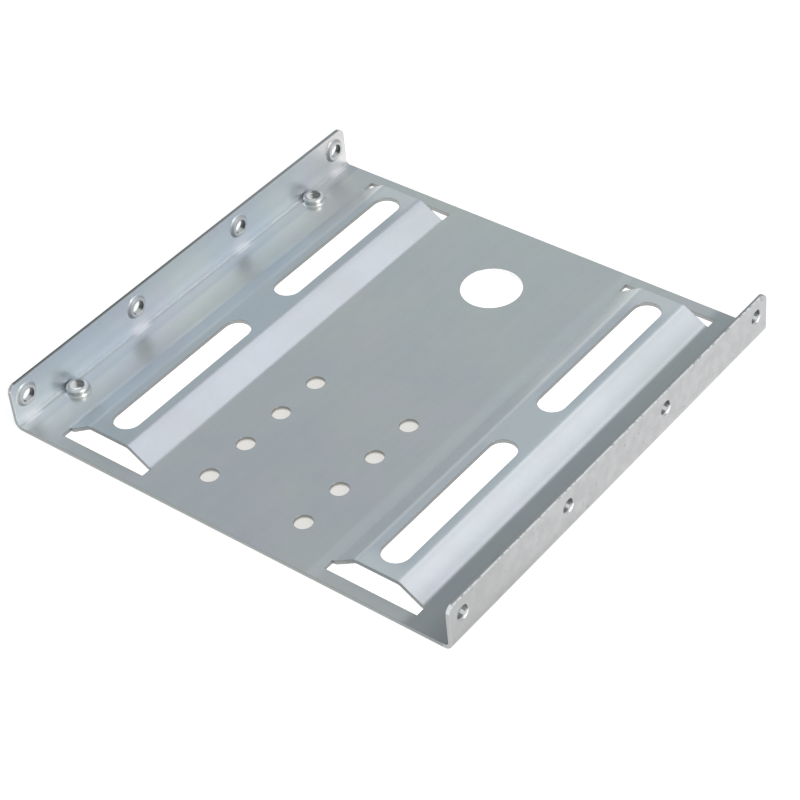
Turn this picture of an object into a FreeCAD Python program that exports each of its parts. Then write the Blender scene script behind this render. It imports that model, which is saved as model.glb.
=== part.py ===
import FreeCAD, Part
import math
import os

# Drive bay adapter bracket: one steel sheet, pierced, lanced and folded into a shallow tray.
# The tray takes the place of a 3.5-inch drive, and 2.5-inch drives are screwed to its slotted ribs.
# Sizes are in millimetres. X runs across the tray, Y along its flanges with the front at -Y, and Z up.
# The origin is the middle of the base's underside.

# The tray as a whole
WIDTH = 101.6            # over the outer faces of the two flanges
LENGTH = 97.0            # from the front edge to the rear edge
HEIGHT = 9.8             # from the base's underside to the flanges' top edges
SHEET = 0.8              # thickness of the steel
FLANGE_FOLD = 0.9        # inner radius of the fold at a flange's foot
FLANGE_CORNER = 1.6      # rounding of a flange's two upper corners

# The two ribs, each a strip cut free at its ends and pushed up out of the base
RIB_SPACING = 62.5       # between the ribs' centre lines
RIB_RISE = 3.0           # from the base's underside to the underside of a rib's top
RIB_SLOPE = 32.0         # angle of a rib's sides to the base, in degrees
RIB_FOLD = 1.4           # inner radius of a rib's four folds
END_STRIP = 2.7          # flat strip of base that is left at each end of a rib
LANCE_GAP = 2.3          # open gap between that strip and the rib's cut end

# The slots in the ribs' tops, two in a row, which take the drive's screws
SLOT_WIDTH = 5.7
SLOT_SIDE = 1.4          # flat of the rib's top beside a slot
SLOT_END = 2.65          # between the rib's cut end and the outer slot's end
SLOT_BRIDGE = 9.7        # between the two slots of one rib

# The small plain holes between the ribs, in two columns from the front
GRID_ROWS = 4
GRID_HOLE = 3.6          # diameter
GRID_COLUMNS = 22.0      # between the two columns
GRID_PITCH = 10.0        # between two rows
GRID_INSET = 9.5         # from the front edge to the first row

# The large plain hole on the centre line
VENT_HOLE = 12.2         # diameter
VENT_INSET = 17.3        # from the rear edge to its centre

# The tapped holes, each drawn into a short collar on the tray's inner side
BORE = 2.8               # diameter over the thread's crests
COLLAR_WALL = 0.8        # wall of a collar around its bore
COLLAR_ROOT = 0.3        # flare where a collar leaves the sheet
COLLAR_LIP = 0.25        # bevel of a collar's rim
BORE_ENTRY = 0.2         # bevel of the bore's mouth, where the punch went in
SIDE_HOLES = 4           # along each flange
SIDE_COLLAR = 0.6        # how far a flange's collar stands out
SIDE_DROP = 3.6          # from a flange's top edge down to a hole's axis
SIDE_INSET = 3.5         # from the ends of the tray to the outer holes
FOOT_COLLAR = 1.3        # how far a base hole's collar stands up
FOOT_SIDE = 3.175        # from a flange's outer face to a base hole's axis
FOOT_INSET = 13.6        # from the ends of the tray to the base holes

SLACK = 1.0              # how far a cutting tool runs past the face that it cuts

slope = math.radians(RIB_SLOPE)
fold_reach = (RIB_FOLD + SHEET / 2) * math.tan(slope / 2)
rib_flat = SLOT_WIDTH / 2 + SLOT_SIDE
rib_shoulder = rib_flat + fold_reach
rib_corner = rib_shoulder + RIB_RISE / math.tan(slope)
rib_foot = rib_corner + fold_reach
rib_end = LENGTH / 2 - END_STRIP - LANCE_GAP
slot_length = (2 * rib_end - 2 * SLOT_END - SLOT_BRIDGE) / 2


def vector(x, y, z):
    return FreeCAD.Vector(x, y, z)


def rounded_path(points, radii):
    """Edges from the first point to the last, with each corner between them rounded."""
    edges = []
    start = points[0]
    for i in range(1, len(points) - 1):
        corner = points[i]
        back = (points[i - 1] - corner).normalize()
        ahead = (points[i + 1] - corner).normalize()
        half_angle = back.getAngle(ahead) / 2
        middle = (back + ahead).normalize()
        reach = radii[i] / math.tan(half_angle)
        crown = radii[i] / math.sin(half_angle) - radii[i]
        edges.append(Part.makeLine(start, corner + back * reach))
        arc = Part.Arc(corner + back * reach, corner + middle * crown, corner + ahead * reach)
        edges.append(arc.toShape())
        start = corner + ahead * reach
    edges.append(Part.makeLine(start, points[-1]))
    return edges


def sheet_side(line, folds, side):
    """One face of a sheet folded along this middle line: side is 1 for its left face, -1 for its right."""
    points = []
    radii = []
    for i in range(len(line)):
        before = line[max(i - 1, 0)]
        after = line[min(i + 1, len(line) - 1)]
        arriving = (line[i] - before) if i > 0 else (after - line[i])
        leaving = (after - line[i]) if i < len(line) - 1 else arriving
        arriving.normalize()
        leaving.normalize()
        normal_in = vector(-arriving.z, 0, arriving.x)
        normal_out = vector(-leaving.z, 0, leaving.x)
        mitre = (normal_in + normal_out) * (side * SHEET / 2 / (1 + normal_in.dot(normal_out)))
        turn = arriving.x * leaving.z - arriving.z * leaving.x
        points.append(line[i] + mitre)
        radii.append(folds[i] if turn * side > 0 else folds[i] + SHEET)
    return rounded_path(points, radii)


def tray_section(ribs):
    """Cross-section of the tray, from one flange's top round to the other's, with ribs at these places."""
    wall = (WIDTH - SHEET) / 2
    base = SHEET / 2
    line = [vector(-wall, 0, HEIGHT), vector(-wall, 0, base)]
    folds = [0, FLANGE_FOLD]
    for centre in ribs:
        line.append(vector(centre - rib_corner, 0, base))
        line.append(vector(centre - rib_shoulder, 0, base + RIB_RISE))
        line.append(vector(centre + rib_shoulder, 0, base + RIB_RISE))
        line.append(vector(centre + rib_corner, 0, base))
        folds += [RIB_FOLD] * 4
    line += [vector(wall, 0, base), vector(wall, 0, HEIGHT)]
    folds += [FLANGE_FOLD, 0]
    inner = sheet_side(line, folds, 1)
    outer = sheet_side(line, folds, -1)
    starts = Part.makeLine(inner[0].Vertexes[0].Point, outer[0].Vertexes[0].Point)
    ends = Part.makeLine(inner[-1].Vertexes[-1].Point, outer[-1].Vertexes[-1].Point)
    return Part.Face(Part.Wire(Part.__sortEdges__(inner + outer + [starts, ends])))


def along_tray(section, front, rear):
    """The section drawn out along the tray, from front to rear."""
    placed = section.copy()
    placed.translate(vector(0, front, 0))
    return placed.extrude(vector(0, rear - front, 0))


def both_sides(value):
    return [-value, value]


def folded_sheet():
    """The sheet with its flanges and ribs, before it has any hole."""
    half = LENGTH / 2
    plain = tray_section([])
    ribbed = tray_section(both_sides(RIB_SPACING / 2))
    sheet = along_tray(ribbed, -rib_end, rib_end)
    sheet = sheet.fuse(along_tray(plain, -half, -rib_end))
    sheet = sheet.fuse(along_tray(plain, rib_end, half))
    for x in both_sides(RIB_SPACING / 2):
        for y in [-rib_end - LANCE_GAP, rib_end]:
            gap = Part.makeBox(2 * rib_foot, LANCE_GAP, SHEET + 2 * SLACK)
            gap.translate(vector(x - rib_foot, y, -SLACK))
            sheet = sheet.cut(gap)
    return sheet.removeSplitter()


def round_flange_corners(sheet):
    corners = []
    for edge in sheet.Edges:
        middle = edge.BoundBox.Center
        short = edge.BoundBox.DiagonalLength < 2 * SHEET
        at_top = abs(middle.z - HEIGHT) < SHEET / 10
        at_end = abs(abs(middle.y) - LENGTH / 2) < SHEET / 10
        if short and at_top and at_end:
            corners.append(edge)
    return sheet.makeFillet(FLANGE_CORNER, corners)


def slot_cutter():
    """An upright cutter with round ends, which runs along the tray."""
    radius = SLOT_WIDTH / 2
    centre = slot_length / 2 - radius
    depth = RIB_RISE + SHEET + 2 * SLACK
    corners = [vector(-radius, -centre, 0), vector(-radius, centre, 0)]
    corners += [vector(radius, centre, 0), vector(radius, -centre, 0)]
    rear = Part.Arc(corners[1], vector(0, centre + radius, 0), corners[2]).toShape()
    front = Part.Arc(corners[3], vector(0, -centre - radius, 0), corners[0]).toShape()
    left = Part.makeLine(corners[0], corners[1])
    right = Part.makeLine(corners[2], corners[3])
    cutter = Part.Face(Part.Wire([left, rear, right, front])).extrude(vector(0, 0, depth))
    cutter.translate(vector(0, 0, -SLACK))
    return cutter


def hole_cutter(diameter):
    depth = SHEET + 2 * SLACK
    return Part.makeCylinder(diameter / 2, depth, vector(0, 0, -SLACK))


def turned(outline):
    """The ring or plug whose half section has this outline, turned about the Z axis."""
    section = Part.Face(Part.makePolygon(outline + [outline[0]]))
    return section.revolve(vector(0, 0, 0), vector(0, 0, 1), 360)


def collar(rise):
    """Ring drawn up out of a sheet whose face is z = 0. It flares where it leaves the sheet."""
    inside = BORE / 2
    outside = inside + COLLAR_WALL
    return turned([
        vector(inside, 0, -SHEET / 2),
        vector(outside + COLLAR_ROOT, 0, -SHEET / 2),
        vector(outside + COLLAR_ROOT, 0, 0),
        vector(outside, 0, COLLAR_ROOT),
        vector(outside, 0, rise - COLLAR_LIP),
        vector(outside - COLLAR_LIP, 0, rise),
        vector(inside, 0, rise),
    ])


def bore_cutter(rise):
    """Cutter for the bore of such a collar, with the wider mouth on the sheet's far face."""
    inside = BORE / 2
    mouth = inside + BORE_ENTRY
    return turned([
        vector(0, 0, -SHEET - SLACK),
        vector(mouth, 0, -SHEET - SLACK),
        vector(mouth, 0, -SHEET),
        vector(inside, 0, BORE_ENTRY - SHEET),
        vector(inside, 0, rise + SLACK),
        vector(0, 0, rise + SLACK),
    ])


def tapped_places():
    """Each tapped hole as its collar's height and the place and turn that carry it there."""
    places = []
    inner_face = WIDTH / 2 - SHEET
    pitch = (LENGTH - 2 * SIDE_INSET) / (SIDE_HOLES - 1)
    across = vector(0, 1, 0)
    for side in [-1, 1]:
        turn = FreeCAD.Rotation(across, -90 * side)
        for i in range(SIDE_HOLES):
            y = SIDE_INSET - LENGTH / 2 + i * pitch
            point = vector(side * inner_face, y, HEIGHT - SIDE_DROP)
            places.append((SIDE_COLLAR, FreeCAD.Placement(point, turn)))
        for y in both_sides(LENGTH / 2 - FOOT_INSET):
            point = vector(side * (WIDTH / 2 - FOOT_SIDE), y, SHEET)
            places.append((FOOT_COLLAR, FreeCAD.Placement(point, FreeCAD.Rotation())))
    return places


def cutters():
    """Every plain hole and slot, as the cutter that pierces it."""
    tools = []
    slot_y = (SLOT_BRIDGE + slot_length) / 2
    for x in both_sides(RIB_SPACING / 2):
        for y in both_sides(slot_y):
            tools.append((slot_cutter(), vector(x, y, 0)))
    for x in both_sides(GRID_COLUMNS / 2):
        for i in range(GRID_ROWS):
            y = GRID_INSET - LENGTH / 2 + i * GRID_PITCH
            tools.append((hole_cutter(GRID_HOLE), vector(x, y, 0)))
    tools.append((hole_cutter(VENT_HOLE), vector(0, LENGTH / 2 - VENT_INSET, 0)))
    for tool, place in tools:
        tool.translate(place)
    return [tool for tool, place in tools]


def bracket():
    body = round_flange_corners(folded_sheet())
    body = body.cut(cutters())
    rings = []
    bores = []
    for rise, placement in tapped_places():
        ring = collar(rise)
        ring.Placement = placement
        rings.append(ring)
        bore = bore_cutter(rise)
        bore.Placement = placement
        bores.append(bore)
    body = body.fuse(rings)
    return body.cut(bores).removeSplitter()


os.makedirs("parts", exist_ok=True)
part = bracket()
solids = part.Solids
print("solids", len(solids), "valid", part.isValid(), "volume", round(part.Volume, 1))
print("box", part.BoundBox)
solids[0].exportStep("parts/drive_bracket.step")
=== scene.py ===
import math

import bpy
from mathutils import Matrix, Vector


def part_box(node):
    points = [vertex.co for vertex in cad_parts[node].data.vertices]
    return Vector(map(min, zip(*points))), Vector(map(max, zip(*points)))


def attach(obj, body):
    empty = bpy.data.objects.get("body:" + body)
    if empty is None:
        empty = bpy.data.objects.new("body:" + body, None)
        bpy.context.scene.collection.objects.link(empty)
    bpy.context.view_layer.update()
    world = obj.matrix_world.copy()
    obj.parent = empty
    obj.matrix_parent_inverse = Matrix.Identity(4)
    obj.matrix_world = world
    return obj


# Dresses the drive bay adapter bracket: one folded sheet of zinc-plated steel with tapped holes.
# Everything is in metres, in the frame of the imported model: X across the tray, Y along it, Z up.

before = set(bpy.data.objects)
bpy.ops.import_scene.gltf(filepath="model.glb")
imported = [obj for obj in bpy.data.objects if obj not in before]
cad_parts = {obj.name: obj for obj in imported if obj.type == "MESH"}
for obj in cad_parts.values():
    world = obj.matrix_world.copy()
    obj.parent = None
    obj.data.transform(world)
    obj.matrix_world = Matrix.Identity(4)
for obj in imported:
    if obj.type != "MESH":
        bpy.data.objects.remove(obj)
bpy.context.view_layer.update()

MM = 0.001
NODE = "drive_bracket"
low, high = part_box(NODE)
HALF_WIDTH = high[0]
HALF_LENGTH = high[1]
BOTTOM = low[2]
TOP = high[2]

# Limits that tell the sheet's parts apart: the height just below the base's upper face, the height just
# above the flanges' folds, and how far from the middle line the flanges and their folds begin.
UPPER_FACE = 0.7 * MM
FOLD_TOP = 2.2 * MM
FLANGE_FROM = HALF_WIDTH - 2.0 * MM

# How far the shading rounds the sheet's sharp edges.
EDGE_RADIUS = 0.20 * MM

# Tapped holes: four in each side flange, and two near each flange in the base.
BORE = 1.4 * MM
BORE_WALL = BORE + 0.05 * MM
BORE_ENTRY = 0.2 * MM
THREAD_PITCH = 25.4 / 32 * MM
THREAD_DEPTH = 0.14 * MM
THREAD_ROOT_WIDTH = 0.62 * MM
THREAD_CREST_WIDTH = 0.12 * MM
THREAD_SUNK = 0.04 * MM
SIDE_ROWS = (-45.0 * MM, -15.0 * MM, 15.0 * MM, 45.0 * MM)
SIDE_HALF_PITCH = 15.0 * MM
SIDE_HEIGHT = 6.2 * MM
SIDE_DEPTH = 1.4 * MM
FOOT_ROWS = (-34.9 * MM, 34.9 * MM)
FOOT_X = 47.625 * MM
FOOT_DEPTH = 2.1 * MM

# The plain holes lie this near to the tray's middle line, and the large one begins beyond this Y.
PLAIN_HOLES_REACH = 20.0 * MM
LARGE_HOLE_FROM = 20.0 * MM

# Across each rib: its middle line, the fold beside its flat top, the fold at its foot, and how far a
# fold's shading spreads to either side. The shading of the foot folds lies this much further in on the
# right rib and further out on the left one.
RIB_X = 31.25 * MM
RIB_CREST = 4.5 * MM
RIB_FOOT = 9.9 * MM
RIB_EASE = 0.9 * MM
RIB_FOOT_SHIFT = 0.3 * MM

# How steep the ribs' slopes are, and along each rib half its length and the start of its slots.
RIB_LEAN = math.sin(math.radians(32.0))
RIB_HALF_LENGTH = 43.5 * MM
SLOT_START = 9.7 * MM


def camera():
    """The photograph's viewpoint, fitted to the tray's corners, slots and holes."""
    place = (0.23263, -0.25631, 0.29474)
    turn = (0.85418, 0.08106, 0.66357)
    focal_px = 2445.6
    frame_px = 800
    data = bpy.data.cameras.new("camera")
    data.sensor_width = 36.0
    data.lens = focal_px / frame_px * data.sensor_width
    data.clip_start = 0.01
    data.clip_end = 30.0
    obj = bpy.data.objects.new("camera", data)
    obj.location = place
    obj.rotation_euler = turn
    bpy.context.scene.collection.objects.link(obj)
    bpy.context.scene.camera = obj


class Graph:
    """The nodes of one material or of the world, made one call at a time."""

    def __init__(self, tree):
        self.tree = tree

    def node(self, kind, inputs=None, **options):
        made = self.tree.nodes.new(kind)
        for key, value in options.items():
            setattr(made, key, value)
        for key, value in (inputs or {}).items():
            self.feed(made.inputs[key], value)
        return made

    def feed(self, socket, value):
        if isinstance(value, bpy.types.NodeSocket):
            self.tree.links.new(value, socket)
        else:
            socket.default_value = value

    def math(self, operation, first, second=0.0):
        return self.node("ShaderNodeMath", {0: first, 1: second}, operation=operation).outputs[0]

    def vector(self, operation, inputs, output="Vector"):
        return self.node("ShaderNodeVectorMath", inputs, operation=operation).outputs[output]

    def chain(self, operation, values):
        made = values[0]
        for value in values[1:]:
            made = self.math(operation, made, value)
        return made

    def total(self, *values):
        return self.chain("ADD", values)

    def both(self, *masks):
        """1 where every mask is 1. A number among the masks sets how strong the result is."""
        return self.chain("MULTIPLY", masks)

    def either(self, *masks):
        """1 where any of the masks is 1."""
        return self.chain("MAXIMUM", masks)

    def line(self, value, slope, base):
        """The base plus the value times the slope."""
        return self.total(self.both(value, slope), base)

    def above(self, value, limit):
        return self.math("GREATER_THAN", value, limit)

    def below(self, value, limit):
        return self.math("LESS_THAN", value, limit)

    def step(self, value, start, end):
        """0 at the start and before it, 1 at the end and beyond it, and a smooth rise between them."""
        inputs = {"Value": value, "From Min": start, "From Max": end}
        return self.node("ShaderNodeMapRange", inputs, interpolation_type="SMOOTHSTEP").outputs["Result"]

    def band(self, value, start, end, soft):
        """1 between start and end, with soft borders outside them."""
        return self.both(self.step(value, start - soft, start), self.step(value, end + soft, end))

    def mix(self, factor, first, second):
        """The first colour or normal where the factor is 0, and the second where it is 1."""
        inputs = {0: factor, 6: opaque(first), 7: opaque(second)}
        return self.node("ShaderNodeMix", inputs, data_type="RGBA").outputs[2]

    def coats(self, colour, *coats):
        """A colour with coats laid over it in their order, each of them a mask and a tone."""
        for mask, tone in coats:
            colour = self.mix(mask, colour, tone)
        return colour

    def dimmed(self, colour, share):
        return self.vector("SCALE", {0: colour, "Scale": share})

    def length(self, first, second):
        flat = self.node("ShaderNodeCombineXYZ", {0: first, 1: second}).outputs[0]
        return self.vector("LENGTH", {0: flat}, "Value")

    def stretched(self, vector, scale):
        return self.node("ShaderNodeMapping", {"Vector": vector, "Scale": scale}).outputs["Vector"]

    def noise(self, vector, scale, detail):
        inputs = {"Vector": vector, "Scale": scale, "Detail": detail}
        return self.node("ShaderNodeTexNoise", inputs).outputs["Fac"]


def opaque(tone):
    """A tone of three numbers with its alpha added. A socket stays as it is."""
    return (*tone, 1.0) if isinstance(tone, tuple) else tone


def panel(name, azimuth, elevation, size, radiance):
    """A round soft panel that faces the tray. Azimuth turns from +Y towards +X."""
    distance = 1.3
    data = bpy.data.lights.new(name, "AREA")
    data.shape = "DISK"
    data.size = size
    data.energy = 4.0 * math.pi * math.pi * (size / 2) ** 2 * max(radiance)
    data.color = [part / max(radiance) for part in radiance]
    obj = bpy.data.objects.new(name, data)
    turn = math.radians(azimuth)
    lift = math.radians(elevation)
    level = math.cos(lift)
    obj.location = Vector((math.sin(turn) * level, math.cos(turn) * level, math.sin(lift))) * distance
    obj.rotation_euler = (-obj.location).to_track_quat("-Z", "Y").to_euler()
    bpy.context.scene.collection.objects.link(obj)


def sky():
    """White near the horizon, like a paper sweep, and a cool grey room above it."""
    world = bpy.data.worlds.new("studio")
    world.use_nodes = True
    graph = Graph(world.node_tree)
    background = world.node_tree.nodes["Background"]
    direction = graph.node("ShaderNodeTexCoord").outputs["Generated"]
    height = graph.node("ShaderNodeSeparateXYZ", {0: direction}).outputs["Z"]
    room = graph.step(height, 0.01, 0.06)
    graph.feed(background.inputs["Color"], graph.mix(room, (1.0, 1.0, 1.0), (0.53, 0.58, 0.61)))
    bpy.context.scene.world = world


def studio():
    """The sky, a dim panel behind the tray and a bright, slightly warm one at its right."""
    sky()
    panel("key", azimuth=30, elevation=52, size=0.70, radiance=(0.21, 0.21, 0.23))
    panel("side", azimuth=90, elevation=32, size=0.70, radiance=(1.85, 1.75, 1.65))
    bpy.context.scene.view_settings.view_transform = "Standard"


def floor():
    """White paper that burns out. Its glow is partly painted light: it glows most below the tray, where the
    lights don't reach it, to fill the tray's shadow, and less below the tray's outer strips. Below the
    small holes it carries a painted shade, duller and warmer."""
    half = 8.0
    z = BOTTOM - 0.02 * MM
    open_glow = 0.80
    tray_glow = 1.0
    strip_loss = 0.2
    tray_margin = 1.0 * MM
    strip_start = 42.0 * MM
    grid_half_width = 15.0 * MM
    grid_start = -43.0 * MM
    grid_end = -5.0 * MM
    mesh = bpy.data.meshes.new("floor")
    corners = [(-half, -half, z), (half, -half, z), (half, half, z), (-half, half, z)]
    mesh.from_pydata(corners, [], [(0, 1, 2, 3)])
    obj = bpy.data.objects.new("floor", mesh)
    bpy.context.scene.collection.objects.link(obj)
    material = bpy.data.materials.new("paper")
    material.use_nodes = True
    graph = Graph(material.node_tree)
    shader = material.node_tree.nodes["Principled BSDF"]
    place = graph.node("ShaderNodeTexCoord").outputs["Object"]
    x, y = graph.node("ShaderNodeSeparateXYZ", {0: place}).outputs[:2]
    across = graph.math("ABSOLUTE", x)
    along = graph.math("ABSOLUTE", y)
    under_tray = graph.both(
        graph.below(across, HALF_WIDTH - tray_margin),
        graph.below(along, HALF_LENGTH - tray_margin),
    )
    under_strips = graph.both(graph.above(across, strip_start), under_tray)
    in_rows = graph.both(graph.above(y, grid_start), graph.below(y, grid_end))
    under_grid = graph.both(graph.below(across, grid_half_width), in_rows)
    # Painted light: more glow below the tray fills its shadow, and less glow below the outer strips.
    glow = graph.line(under_tray, tray_glow - open_glow, open_glow)
    glow = graph.total(glow, graph.both(under_strips, -strip_loss))
    # Painted shade: the paper below the small holes is darker, duller and warmer.
    paper = graph.mix(under_grid, (0.35, 0.35, 0.35), (0.08, 0.08, 0.08))
    graph.feed(shader.inputs["Base Color"], paper)
    light = graph.mix(under_grid, (1.0, 1.0, 1.0), (0.68, 0.67, 0.64))
    graph.feed(shader.inputs["Emission Color"], light)
    graph.feed(shader.inputs["Emission Strength"], glow)
    shader.inputs["Roughness"].default_value = 0.9
    mesh.materials.append(material)


class Places(Graph):
    """The graph of the bracket's material, with masks that tell the bracket's parts from each other."""

    def __init__(self, tree):
        super().__init__(tree)
        self.place = self.node("ShaderNodeTexCoord").outputs["Object"]
        self.x, self.y, self.z = self.node("ShaderNodeSeparateXYZ", {0: self.place}).outputs
        self.side = self.math("ABSOLUTE", self.x)
        self.along = self.math("ABSOLUTE", self.y)
        self.way = self.math("SIGN", self.x)
        self.right = self.above(self.x, 0.0)
        self.left = self.below(self.x, 0.0)
        self.flange = self.above(self.side, FLANGE_FROM)
        self.over_rib = self.math("SUBTRACT", self.x, self.both(self.way, RIB_X))
        self.off_rib = self.math("ABSOLUTE", self.over_rib)
        self.to_foot = self.total(self.off_rib, self.both(self.way, RIB_FOOT_SHIFT))
        self.hole_along, self.hole_up, self.hole_reach = self.from_side_hole()
        self.foot_out, self.foot_along, self.foot_reach = self.from_foot_hole()
        # Which way the faces point, and how near to a rounded edge a point is.
        geometry = self.node("ShaderNodeNewGeometry").outputs
        faces = self.node("ShaderNodeSeparateXYZ", {0: geometry["True Normal"]}).outputs
        self.face_x, self.face_y, self.face_z = faces
        self.outward = self.both(self.face_x, self.way)
        self.rounded = self.node("ShaderNodeBevel", {"Radius": EDGE_RADIUS}, samples=6).outputs["Normal"]
        turned = self.vector("DOT_PRODUCT", {0: self.rounded, 1: geometry["Normal"]}, "Value")
        self.edge = self.step(turned, 0.995, 0.90)
        # Patterns of the plating, from coarse to fine, and streaks that run along the sheet.
        self.clouds = self.step(self.noise(self.place, 55.0, 3.0), 0.35, 0.65)
        self.veils = self.step(self.noise(self.place, 95.0, 2.0), 0.45, 0.70)
        self.mottle = self.noise(self.place, 420.0, 5.0)
        self.grain = self.noise(self.place, 2200.0, 3.0)
        self.streaks = self.noise(self.stretched(self.place, (900.0, 14.0, 900.0)), 1.0, 3.0)

    def from_side_hole(self):
        """Along and up from the axis of the flange's nearest tapped hole, and the distance from it."""
        shifted = self.math("ADD", self.y, 4 * SIDE_HALF_PITCH)
        turn = self.math("MODULO", shifted, 2 * SIDE_HALF_PITCH)
        along = self.math("SUBTRACT", turn, SIDE_HALF_PITCH)
        up = self.math("SUBTRACT", self.z, SIDE_HEIGHT)
        return along, up, self.length(along, up)

    def from_foot_hole(self):
        """Outward and along from the axis of the base's nearest tapped hole, and the distance from it."""
        out = self.math("SUBTRACT", self.side, FOOT_X)
        turn = self.math("SUBTRACT", self.along, FOOT_ROWS[1])
        along = self.math("MULTIPLY", turn, self.math("SIGN", self.y))
        return out, along, self.length(out, turn)

    def outer_face(self):
        return self.both(self.flange, self.step(self.outward, 0.1, 0.6))

    def inner_face(self):
        return self.both(self.flange, self.step(self.outward, -0.60, -0.72))

    def bend(self):
        """The inside of the fold at a flange's foot."""
        low_down = self.below(self.z, FOLD_TOP)
        return self.both(self.flange, low_down, self.band(self.outward, -0.75, -0.25, 0.2))

    def on_rib(self):
        """The upper side of the ribs and of the folds at their feet."""
        upper = self.both(self.above(self.face_z, 0.6), self.above(self.z, UPPER_FACE))
        near = self.below(self.off_rib, RIB_FOOT + 1.5 * MM)
        return self.both(upper, near, self.below(self.along, RIB_HALF_LENGTH))

    def slopes(self):
        """1 on the two slopes of a rib, rising and falling across the folds."""
        top = self.step(self.off_rib, RIB_CREST - RIB_EASE, RIB_CREST + RIB_EASE)
        return self.both(top, self.step(self.to_foot, RIB_FOOT + RIB_EASE, RIB_FOOT - RIB_EASE))

    def crest(self):
        """The flat top of a rib."""
        flat = self.step(self.off_rib, RIB_CREST + RIB_EASE, RIB_CREST - RIB_EASE)
        return self.both(self.on_rib(), flat)

    def right_hand(self):
        """The right-hand slope of a rib."""
        return self.both(self.on_rib(), self.slopes(), self.above(self.over_rib, 0.0))

    def left_hand(self):
        """The left-hand slope of a rib."""
        return self.both(self.on_rib(), self.slopes(), self.below(self.over_rib, 0.0))

    def shoulder(self):
        """The fold at the left of each rib's top."""
        high_up = self.above(self.z, 2.6 * MM)
        between = self.below(self.side, HALF_WIDTH - 6.0 * MM)
        return self.both(high_up, between, self.band(self.face_x, -0.40, -0.12, 0.10))

    def cut(self):
        """Walls of the slots, the gaps and the plain holes."""
        between = self.below(self.side, HALF_WIDTH - 5.5 * MM)
        upright = self.below(self.math("ABSOLUTE", self.face_z), 0.1)
        return self.both(between, upright, self.below(self.along, HALF_LENGTH - 0.1 * MM))

    def end(self):
        """The sheet's edges at the front and the far end."""
        ending = self.above(self.along, HALF_LENGTH - 0.05 * MM)
        return self.both(ending, self.above(self.math("ABSOLUTE", self.face_y), 0.3))

    def top_edge(self):
        return self.above(self.z, TOP - 0.02 * MM)

    def lip(self):
        """The outer border of the flanges' top edges."""
        return self.step(self.side, HALF_WIDTH - 0.50 * MM, HALF_WIDTH - 0.25 * MM)

    def burr(self):
        return self.both(self.top_edge(), self.right, self.lip())

    def glint(self):
        """The right flange's rounded corner at the front, where a glint is painted."""
        facing = self.both(self.step(self.face_z, 0.10, 0.35), self.step(self.face_y, -0.10, -0.35))
        return self.both(self.flange, self.right, facing)

    def collar_rim(self):
        """The raised part of the collars inside the left flange."""
        raised = self.both(self.below(self.side, HALF_WIDTH - 0.85 * MM), self.left)
        return self.both(self.flange, raised, self.step(self.hole_reach, 2.7 * MM, 2.2 * MM))

    def foot_bore(self):
        return self.below(self.foot_reach, BORE_WALL)

    def foot_lit(self):
        """The part of a base hole's wall that faces the light."""
        return self.step(self.math("SUBTRACT", self.foot_out, self.foot_along), 0.0, 1.0 * MM)

    def eased(self, normal, share):
        """A normal that turns softly over the ribs' folds, as a stamped sheet does."""
        lean = self.both(self.slopes(), self.math("SIGN", self.over_rib), RIB_LEAN)
        upright = self.math("SQRT", self.math("SUBTRACT", 1.0, self.both(lean, lean)))
        soft = self.node("ShaderNodeCombineXYZ", {0: lean, 2: upright}).outputs[0]
        return self.mix(self.both(self.on_rib(), share), normal, soft)

    def squared(self, normal):
        """A normal that turns the corner at a flange's foot all at once, so that the fold doesn't glint."""
        low_down = self.both(self.below(self.z, FOLD_TOP), self.above(self.z, UPPER_FACE))
        corner = self.both(self.flange, low_down, self.below(self.outward, -0.02))
        inward = self.node("ShaderNodeCombineXYZ", {0: self.both(self.way, -1.0)}).outputs[0]
        turned = self.mix(self.step(self.outward, -0.66, -0.68), (0.0, 0.0, 1.0), inward)
        return self.mix(corner, normal, turned)


def base_tints(at):
    """Cloudy tints of the plating, paler and warmer towards the far end and the flanges."""
    colour = at.mix(at.clouds, (0.575, 0.610, 0.630), (0.600, 0.630, 0.625))
    colour = at.mix(at.both(at.veils, 0.6), colour, (0.600, 0.605, 0.650))
    drift = at.step(at.total(at.y, at.both(at.side, 0.5)), -70.0 * MM, 70.0 * MM)
    tint = at.mix(drift, (0.960, 0.930, 0.930), (1.060, 1.050, 1.000))
    return at.vector("MULTIPLY", {0: colour, 1: tint})


def crest_tints_and_painted_light(at):
    """The ribs' flat tops: cloudy tints, with painted shade on the left rib and beside the slots, and a
    painted highlight at the far end. At the front the left one gets more painted shade and the right one a
    painted highlight."""
    from_slot = at.step(at.along, SLOT_START - 3.0 * MM, SLOT_START)
    to_end = at.step(at.along, RIB_HALF_LENGTH - 1.0 * MM, RIB_HALF_LENGTH - 3.0 * MM)
    front = at.step(at.y, -38.0 * MM, -42.0 * MM)
    far = at.step(at.y, 35.0 * MM, 41.0 * MM)
    # Cloudy tints, then painted shade and painted highlights on the crests.
    return at.coats(
        at.mix(at.clouds, (0.640, 0.690, 0.725), (0.655, 0.690, 0.705)),
        (at.both(at.left, 0.7), (0.545, 0.600, 0.630)),
        (at.both(from_slot, to_end, 0.35), (0.520, 0.550, 0.580)),
        (at.both(front, at.left, 0.4), (0.470, 0.510, 0.540)),
        (at.both(front, at.right, 0.7), (0.740, 0.780, 0.790)),
        (at.both(far, 0.9), (0.780, 0.795, 0.790)),
    )


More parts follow.
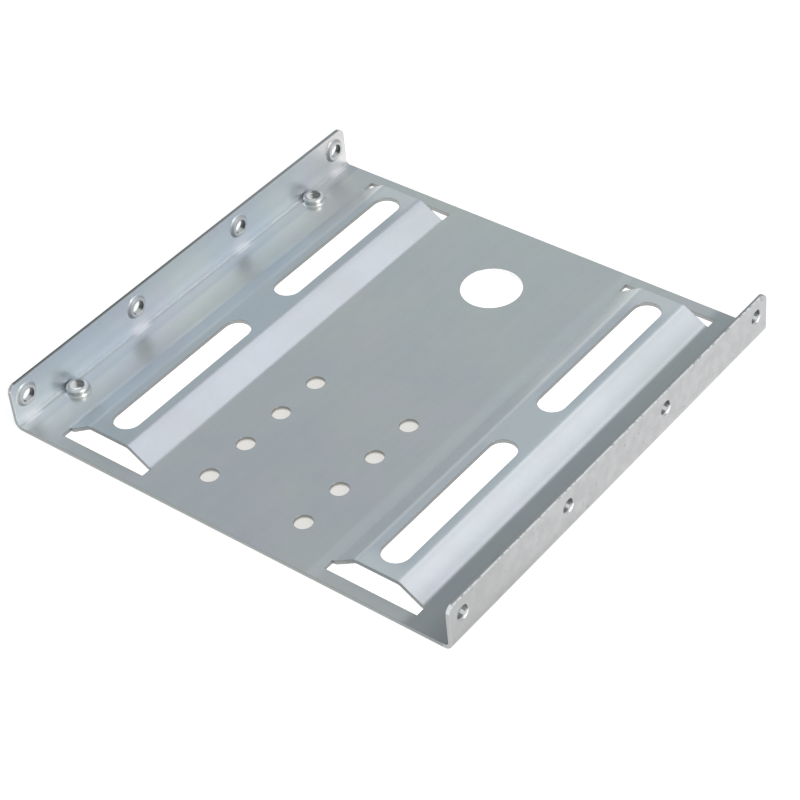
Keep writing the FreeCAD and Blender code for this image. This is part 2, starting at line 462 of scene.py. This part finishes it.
def inner_tints_and_painted_light(at):
    """The flanges' inner faces: painted light makes them pale blue, with a painted highlight near the foot
    and painted shade further up, and warmer at the left one's far end.
    """
    far = at.step(at.y, 32.0 * MM, 46.0 * MM)
    colour = at.coats(
        at.mix(at.clouds, (0.750, 0.820, 0.885), (0.785, 0.845, 0.865)),
        (at.both(at.veils, 0.7), (0.780, 0.790, 0.860)),
        (at.both(at.left, far, 0.8), (0.690, 0.655, 0.635)),
    )
    # A painted highlight near the foot and painted shade further up.
    near_foot = at.both(at.step(at.z, 4.5 * MM, 1.8 * MM), at.step(at.z, 1.2 * MM, 2.0 * MM))
    further_up = at.step(at.z, 4.5 * MM, 9.0 * MM)
    return at.dimmed(colour, at.total(at.both(near_foot, 0.12), at.both(further_up, -0.10), 1.0))


def outer_tints_and_painted_shade(at):
    """The flanges' outer faces: painted shade makes them grey, with dark specks, darker low down towards
    the front, and darker again at the front.
    """
    specks = at.step(at.noise(at.place, 800.0, 2.0), 0.69, 0.74)
    low_down = at.step(at.z, 4.2 * MM, 1.2 * MM)
    towards_front = at.step(at.y, 10.0 * MM, -45.0 * MM)
    front = at.step(at.y, -20.0 * MM, -48.0 * MM)
    # Painted shade: grey outer faces, darker low down and towards the front.
    return at.coats(
        at.mix(at.step(at.mottle, 0.35, 0.65), (0.440, 0.440, 0.445), (0.485, 0.485, 0.490)),
        (at.both(specks, 0.6), (0.250, 0.240, 0.240)),
        (at.both(low_down, towards_front, 0.7), (0.300, 0.300, 0.305)),
        (at.both(front, 0.6), (0.380, 0.380, 0.380)),
    )


def rib_slopes_painted_light(at, colour):
    """The ribs' slopes, with painted light and shade: painted shade on the left rib's right-hand slope, and
    a painted highlight on the right rib's, palest at mid height. Painted highlights also lie on the
    left-hand slopes and on the borders of the right rib's crest and left foot."""
    right_hand = at.right_hand()
    left_hand = at.left_hand()
    below_crest = at.step(at.off_rib, 6.4 * MM, 4.6 * MM)
    near_foot = at.step(at.off_rib, 7.0 * MM, 9.6 * MM)
    dull = at.line(below_crest, 0.5, 0.5)
    palest = at.total(0.80, at.both(near_foot, -0.60), at.both(below_crest, -0.70))
    crest_border = at.both(at.crest(), at.right, at.step(at.over_rib, 2.9 * MM, 4.2 * MM))
    nearer = at.line(at.step(at.y, 20.0 * MM, 45.0 * MM), -0.5, 0.8)
    far = at.step(at.y, 37.0 * MM, 42.0 * MM)
    beside_foot = at.band(at.over_rib, -11.6 * MM, -10.2 * MM, 1.0 * MM)
    # Painted shade and painted highlights on the slopes and borders.
    return at.coats(
        colour,
        (at.both(right_hand, at.left, dull), (0.510, 0.530, 0.560)),
        (at.both(crest_border, 0.6), (0.700, 0.740, 0.770)),
        (at.both(right_hand, at.right, palest), (0.705, 0.725, 0.730)),
        (at.both(left_hand, nearer), at.mix(at.right, (0.640, 0.700, 0.760), (0.715, 0.740, 0.745))),
        (at.both(left_hand, at.left, far, 0.6), (0.760, 0.750, 0.740)),
        (at.both(beside_foot, at.step(at.face_z, 0.9, 0.99), at.right, 0.4), (0.700, 0.725, 0.730)),
    )


def right_strip_shadow(at, colour):
    """Painted shadow on the strip between the right rib and its flange, darkest near the front and the
    flange.
    """
    # Painted shadow of the right flange.
    strip = at.both(at.band(at.x, 41.5 * MM, HALF_WIDTH, 2.5 * MM), at.step(at.outward, 0.5, 0.1))
    near_flange = at.step(at.x, 42.0 * MM, 49.0 * MM)
    fading = at.both(at.y, -0.0015 / MM)
    dull = at.total(0.52, fading, at.both(near_flange, 0.25))
    return at.mix(at.both(strip, dull), colour, (0.275, 0.290, 0.290))


def folds(at, colour):
    """Painted highlights along the ribs' left shoulders, in the flanges' folds and below the flanges'
    holes.
    """
    shoulder_highlight = at.line(at.right, 0.40, 0.30)
    corner = at.both(at.flange, at.band(at.outward, -0.60, -0.25, 0.08), at.below(at.z, FOLD_TOP))
    from_spot = at.length(at.hole_along, at.math("SUBTRACT", at.z, 1.6 * MM))
    highlight_below_holes = at.both(at.step(from_spot, 3.2 * MM, 0.8 * MM), at.flange, at.step(at.outward, 0.1, -0.1))
    # Painted highlights on the shoulders, in the flanges' folds and below the holes.
    return at.coats(
        colour,
        (at.both(at.shoulder(), shoulder_highlight), (0.850, 0.870, 0.880)),
        (at.both(corner, 0.25), (0.820, 0.840, 0.870)),
        (at.both(highlight_below_holes, 0.55), (0.950, 0.950, 0.970)),
    )


def rolled(at, colour):
    """Rolling streaks along the sheet, a fine grain and a faint mottle."""
    patterns = (at.both(at.streaks, 0.06), at.both(at.grain, 0.07), at.both(at.mottle, 0.05))
    return at.dimmed(colour, at.total(*patterns, 0.91))


def sheared_edges(at, colour):
    """Sheared steel, dark in the slots and gaps with painted shade there, a little paler where the walls
    face forward. The large hole has painted light, and the small ones painted light low down and painted
    shade above. The ends and the flanges' tops are grey, with painted light on the right flange's ends. The
    left flange's lip gets painted shade, darkest at the front. The right one's burr and front corner get
    painted highlights, and edges a painted highlight on the flanges and painted shade elsewhere."""
    plain_hole = at.below(at.side, PLAIN_HOLES_REACH)
    large_hole = at.both(plain_hole, at.above(at.y, LARGE_HOLE_FROM))
    raised = at.step(at.z, 0.05 * MM, 0.40 * MM)
    # Dark cut steel with painted shade, and painted light in the plain holes.
    cut_tone_and_painted_light = at.coats(
        at.mix(at.step(at.face_y, -0.2, -0.6), (0.250, 0.257, 0.255), (0.310, 0.315, 0.315)),
        (plain_hole, at.mix(raised, (0.880, 0.860, 0.830), (0.290, 0.285, 0.275))),
        (large_hole, (0.860, 0.850, 0.840)),
    )
    # Painted light on the right flange's ends.
    painted_end_tone = at.mix(at.both(at.flange, at.right), (0.340, 0.355, 0.345), (0.520, 0.520, 0.510))
    # Painted shade on the left flange's lip, darkest at the front.
    far = at.step(at.y, -20.0 * MM, 45.0 * MM)
    left_lip_shade = at.mix(far, (0.140, 0.140, 0.140), (0.400, 0.400, 0.395))
    nicks = at.step(at.noise(at.place, 1300.0, 2.0), 0.50, 0.62)
    # A painted highlight on the right flange's burr.
    burr_highlight = at.mix(nicks, (0.820, 0.810, 0.800), (0.450, 0.440, 0.430))
    # A painted highlight on the flanges' edges and painted shade on the other edges.
    painted_rim_tone = at.mix(at.flange, (0.300, 0.290, 0.270), (0.720, 0.720, 0.720))
    return at.coats(
        colour,
        (at.both(at.cut(), 0.9), cut_tone_and_painted_light),
        (at.both(at.end(), 0.85), painted_end_tone),
        (at.top_edge(), (0.380, 0.380, 0.380)),
        (at.both(at.glint(), 0.9), (0.950, 0.950, 0.950)),
        (at.both(at.top_edge(), at.left, at.lip()), left_lip_shade),
        (at.burr(), burr_highlight),
        (at.both(at.edge, 0.5), painted_rim_tone),
    )


def collars(at, colour):
    """The collars: painted shade on their roots where they turn down and forwards, rims in the left flange
    painted pale where they face up and grey elsewhere, and rims in the base painted dark towards the flange
    and pale away from it."""
    turned_in = at.below(at.math("ABSOLUTE", at.outward), 0.8)
    root = at.both(at.flange, turned_in, at.band(at.hole_reach, 1.9 * MM, 2.6 * MM, 0.1 * MM))
    shaded = at.step(at.total(at.face_y, at.face_z), -0.2, -0.9)
    painted_rim_tone = at.mix(at.step(at.face_z, 0.0, 0.3), (0.600, 0.620, 0.640), (0.380, 0.390, 0.400))
    foot_top = at.both(at.below(at.foot_reach, 2.7 * MM), at.above(at.z, 1.9 * MM))
    foot_rim = at.both(foot_top, at.step(at.face_z, 0.3, 0.8))
    flange_side = at.step(at.foot_out, -0.8 * MM, 0.6 * MM)
    foot_light_and_shade = at.mix(flange_side, (0.760, 0.770, 0.760), (0.330, 0.340, 0.350))
    # Painted shade on the roots, and painted light and shade on the rims.
    return at.coats(
        colour,
        (at.both(at.collar_rim(), 0.8), painted_rim_tone),
        (at.both(root, shaded, 0.7), (0.280, 0.290, 0.300)),
        (at.both(foot_rim, 0.7), foot_light_and_shade),
    )


def bores(at, colour):
    """The tapped bores: painted shade, but for painted light on the walls that catch the light."""
    side_bore = at.both(at.flange, at.below(at.hole_reach, BORE_WALL))
    near_outside = at.step(at.side, HALF_WIDTH - 0.40 * MM, HALF_WIDTH - 0.15 * MM)
    left_lit = at.either(at.step(at.hole_up, -0.9 * MM, -1.3 * MM), near_outside)
    low_down = at.band(at.hole_up, -1.20 * MM, -0.90 * MM, 0.12 * MM)
    # A painted highlight streak along the axis of the right flange's bores.
    streak = at.both(low_down, at.step(at.hole_along, -0.2 * MM, 0.2 * MM))
    mouth = at.above(at.side, HALF_WIDTH - 0.5 * MM)
    right_lit = at.either(streak, at.both(mouth, at.step(at.hole_up, -0.2 * MM, -0.8 * MM)))
    side_lit = at.total(at.both(at.left, left_lit), at.both(at.right, right_lit))
    side_dark = at.mix(at.right, (0.100, 0.100, 0.100), (0.270, 0.270, 0.270))
    side_pale = at.mix(at.right, (0.780, 0.780, 0.780), (0.950, 0.950, 0.950))
    foot_light_and_shade = at.mix(at.foot_lit(), (0.160, 0.160, 0.165), (0.850, 0.850, 0.860))
    # Painted shade in the bores, and painted light on their lit walls.
    return at.coats(
        colour,
        (at.both(side_bore, 0.95), at.mix(side_lit, side_dark, side_pale)),
        (at.both(at.foot_bore(), 0.85), foot_light_and_shade),
    )


def roughness(at):
    """Satin, duller on sheared edges and the left flange's collars, dullest in the flanges' folds."""
    sheared = at.either(at.cut(), at.end(), at.top_edge())
    return at.total(
        at.both(at.clouds, 0.05),
        at.both(at.streaks, 0.06),
        at.both(sheared, 0.15),
        at.both(at.bend(), 0.50),
        at.both(at.collar_rim(), 0.30),
        0.28,
    )


def metal(at):
    """Mostly metal, and chalky where highlights are painted: at the burr, the glinting corner and the base
    holes' lit walls.
    """
    chalky = at.either(at.burr(), at.glint(), at.both(at.foot_bore(), at.foot_lit()))
    return at.line(chalky, -0.65, 0.85)


def relief(at):
    """A fine grain, slow waves and blotched folds, over edges and folds that turn softly."""
    grain_height = 0.0012 * MM
    wave_height = 0.012 * MM
    blotch_height = 0.020 * MM
    height = at.total(
        at.both(at.grain, grain_height),
        at.both(at.noise(at.place, 70.0, 1.0), wave_height),
        at.both(at.mottle, at.bend(), blotch_height),
    )
    normal = at.squared(at.eased(at.rounded, at.math("SUBTRACT", 1.0, at.edge)))
    inputs = {"Height": height, "Normal": normal, "Distance": 1.0, "Strength": 1.0}
    return at.node("ShaderNodeBump", inputs).outputs["Normal"]


def zinc():
    """Bright zinc plating: cloudy pale tints, grain, rolling streaks and dull sheared edges, with painted
    light and shade on the ribs, flanges, folds, collars and bores.
    """
    material = bpy.data.materials.new("zinc_plating")
    material.use_nodes = True
    at = Places(material.node_tree)
    # Painted shade on the base beside the left flange's fold.
    shade_beside_left_fold = at.both(at.left, at.band(at.side, 47.2 * MM, 49.3 * MM, 0.8 * MM))
    colour = at.coats(
        base_tints(at),
        (at.crest(), crest_tints_and_painted_light(at)),
        (at.both(shade_beside_left_fold, 0.55), (0.470, 0.500, 0.535)),
        (at.inner_face(), inner_tints_and_painted_light(at)),
        (at.outer_face(), outer_tints_and_painted_shade(at)),
    )
    for coat in (rib_slopes_painted_light, right_strip_shadow, folds, rolled, sheared_edges, collars, bores):
        colour = coat(at, colour)
    shader = material.node_tree.nodes["Principled BSDF"]
    at.feed(shader.inputs["Base Color"], colour)
    at.feed(shader.inputs["Roughness"], roughness(at))
    at.feed(shader.inputs["Metallic"], metal(at))
    at.feed(shader.inputs["Normal"], relief(at))
    return material


def thread(name, start, along, depth, material):
    """One tapped thread: a ridge that winds inside a bore, from its mouth along its axis, and fades at
    both ends."""
    per_turn = 40
    fade_turns = 0.18
    least_height = 0.05
    turns = (depth - BORE_ENTRY - THREAD_ROOT_WIDTH) / THREAD_PITCH
    steps = round(turns * per_turn)
    along = Vector(along)
    across = along.orthogonal().normalized()
    third = along.cross(across)
    vertices = []
    faces = []
    for index in range(steps + 1):
        share = index / steps
        angle = 2 * math.pi * index / per_turn
        outward = across * math.cos(angle) + third * math.sin(angle)
        middle = BORE_ENTRY + THREAD_ROOT_WIDTH / 2 + turns * THREAD_PITCH * share
        full = min(1.0, share * turns / fade_turns, (1 - share) * turns / fade_turns)
        root = BORE + THREAD_SUNK
        crest = root - (THREAD_SUNK + THREAD_DEPTH) * max(full, least_height)
        section = (
            (root, -THREAD_ROOT_WIDTH / 2),
            (crest, -THREAD_CREST_WIDTH / 2),
            (crest, THREAD_CREST_WIDTH / 2),
            (root, THREAD_ROOT_WIDTH / 2),
        )
        for radius, shift in section:
            vertices.append(Vector(start) + outward * radius + along * (middle + shift))
    count = len(section)
    for index in range(steps):
        for corner in range(count):
            a = index * count + corner
            b = index * count + (corner + 1) % count
            faces.append((a, b, b + count, a + count))
    faces.append(tuple(range(count)))
    faces.append(tuple(reversed(range(steps * count, steps * count + count))))
    mesh = bpy.data.meshes.new(name)
    mesh.from_pydata(vertices, [], faces)
    mesh.validate()
    mesh.materials.append(material)
    obj = bpy.data.objects.new(name, mesh)
    bpy.context.scene.collection.objects.link(obj)
    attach(obj, "root")


def threads(material):
    """The threads of the four holes in each flange and of the two beside it in the base."""
    for label, way in (("left", -1), ("right", 1)):
        for number, row in enumerate(SIDE_ROWS, 1):
            start = (way * HALF_WIDTH, row, SIDE_HEIGHT)
            thread(f"side_thread_{label}_{number}", start, (-way, 0, 0), SIDE_DEPTH, material)
        for number, row in enumerate(FOOT_ROWS, 1):
            start = (way * FOOT_X, row, 0.0)
            thread(f"foot_thread_{label}_{number}", start, (0, 0, 1), FOOT_DEPTH, material)


camera()
studio()
floor()
plating = zinc()
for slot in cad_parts[NODE].material_slots:
    slot.material = plating
threads(plating)
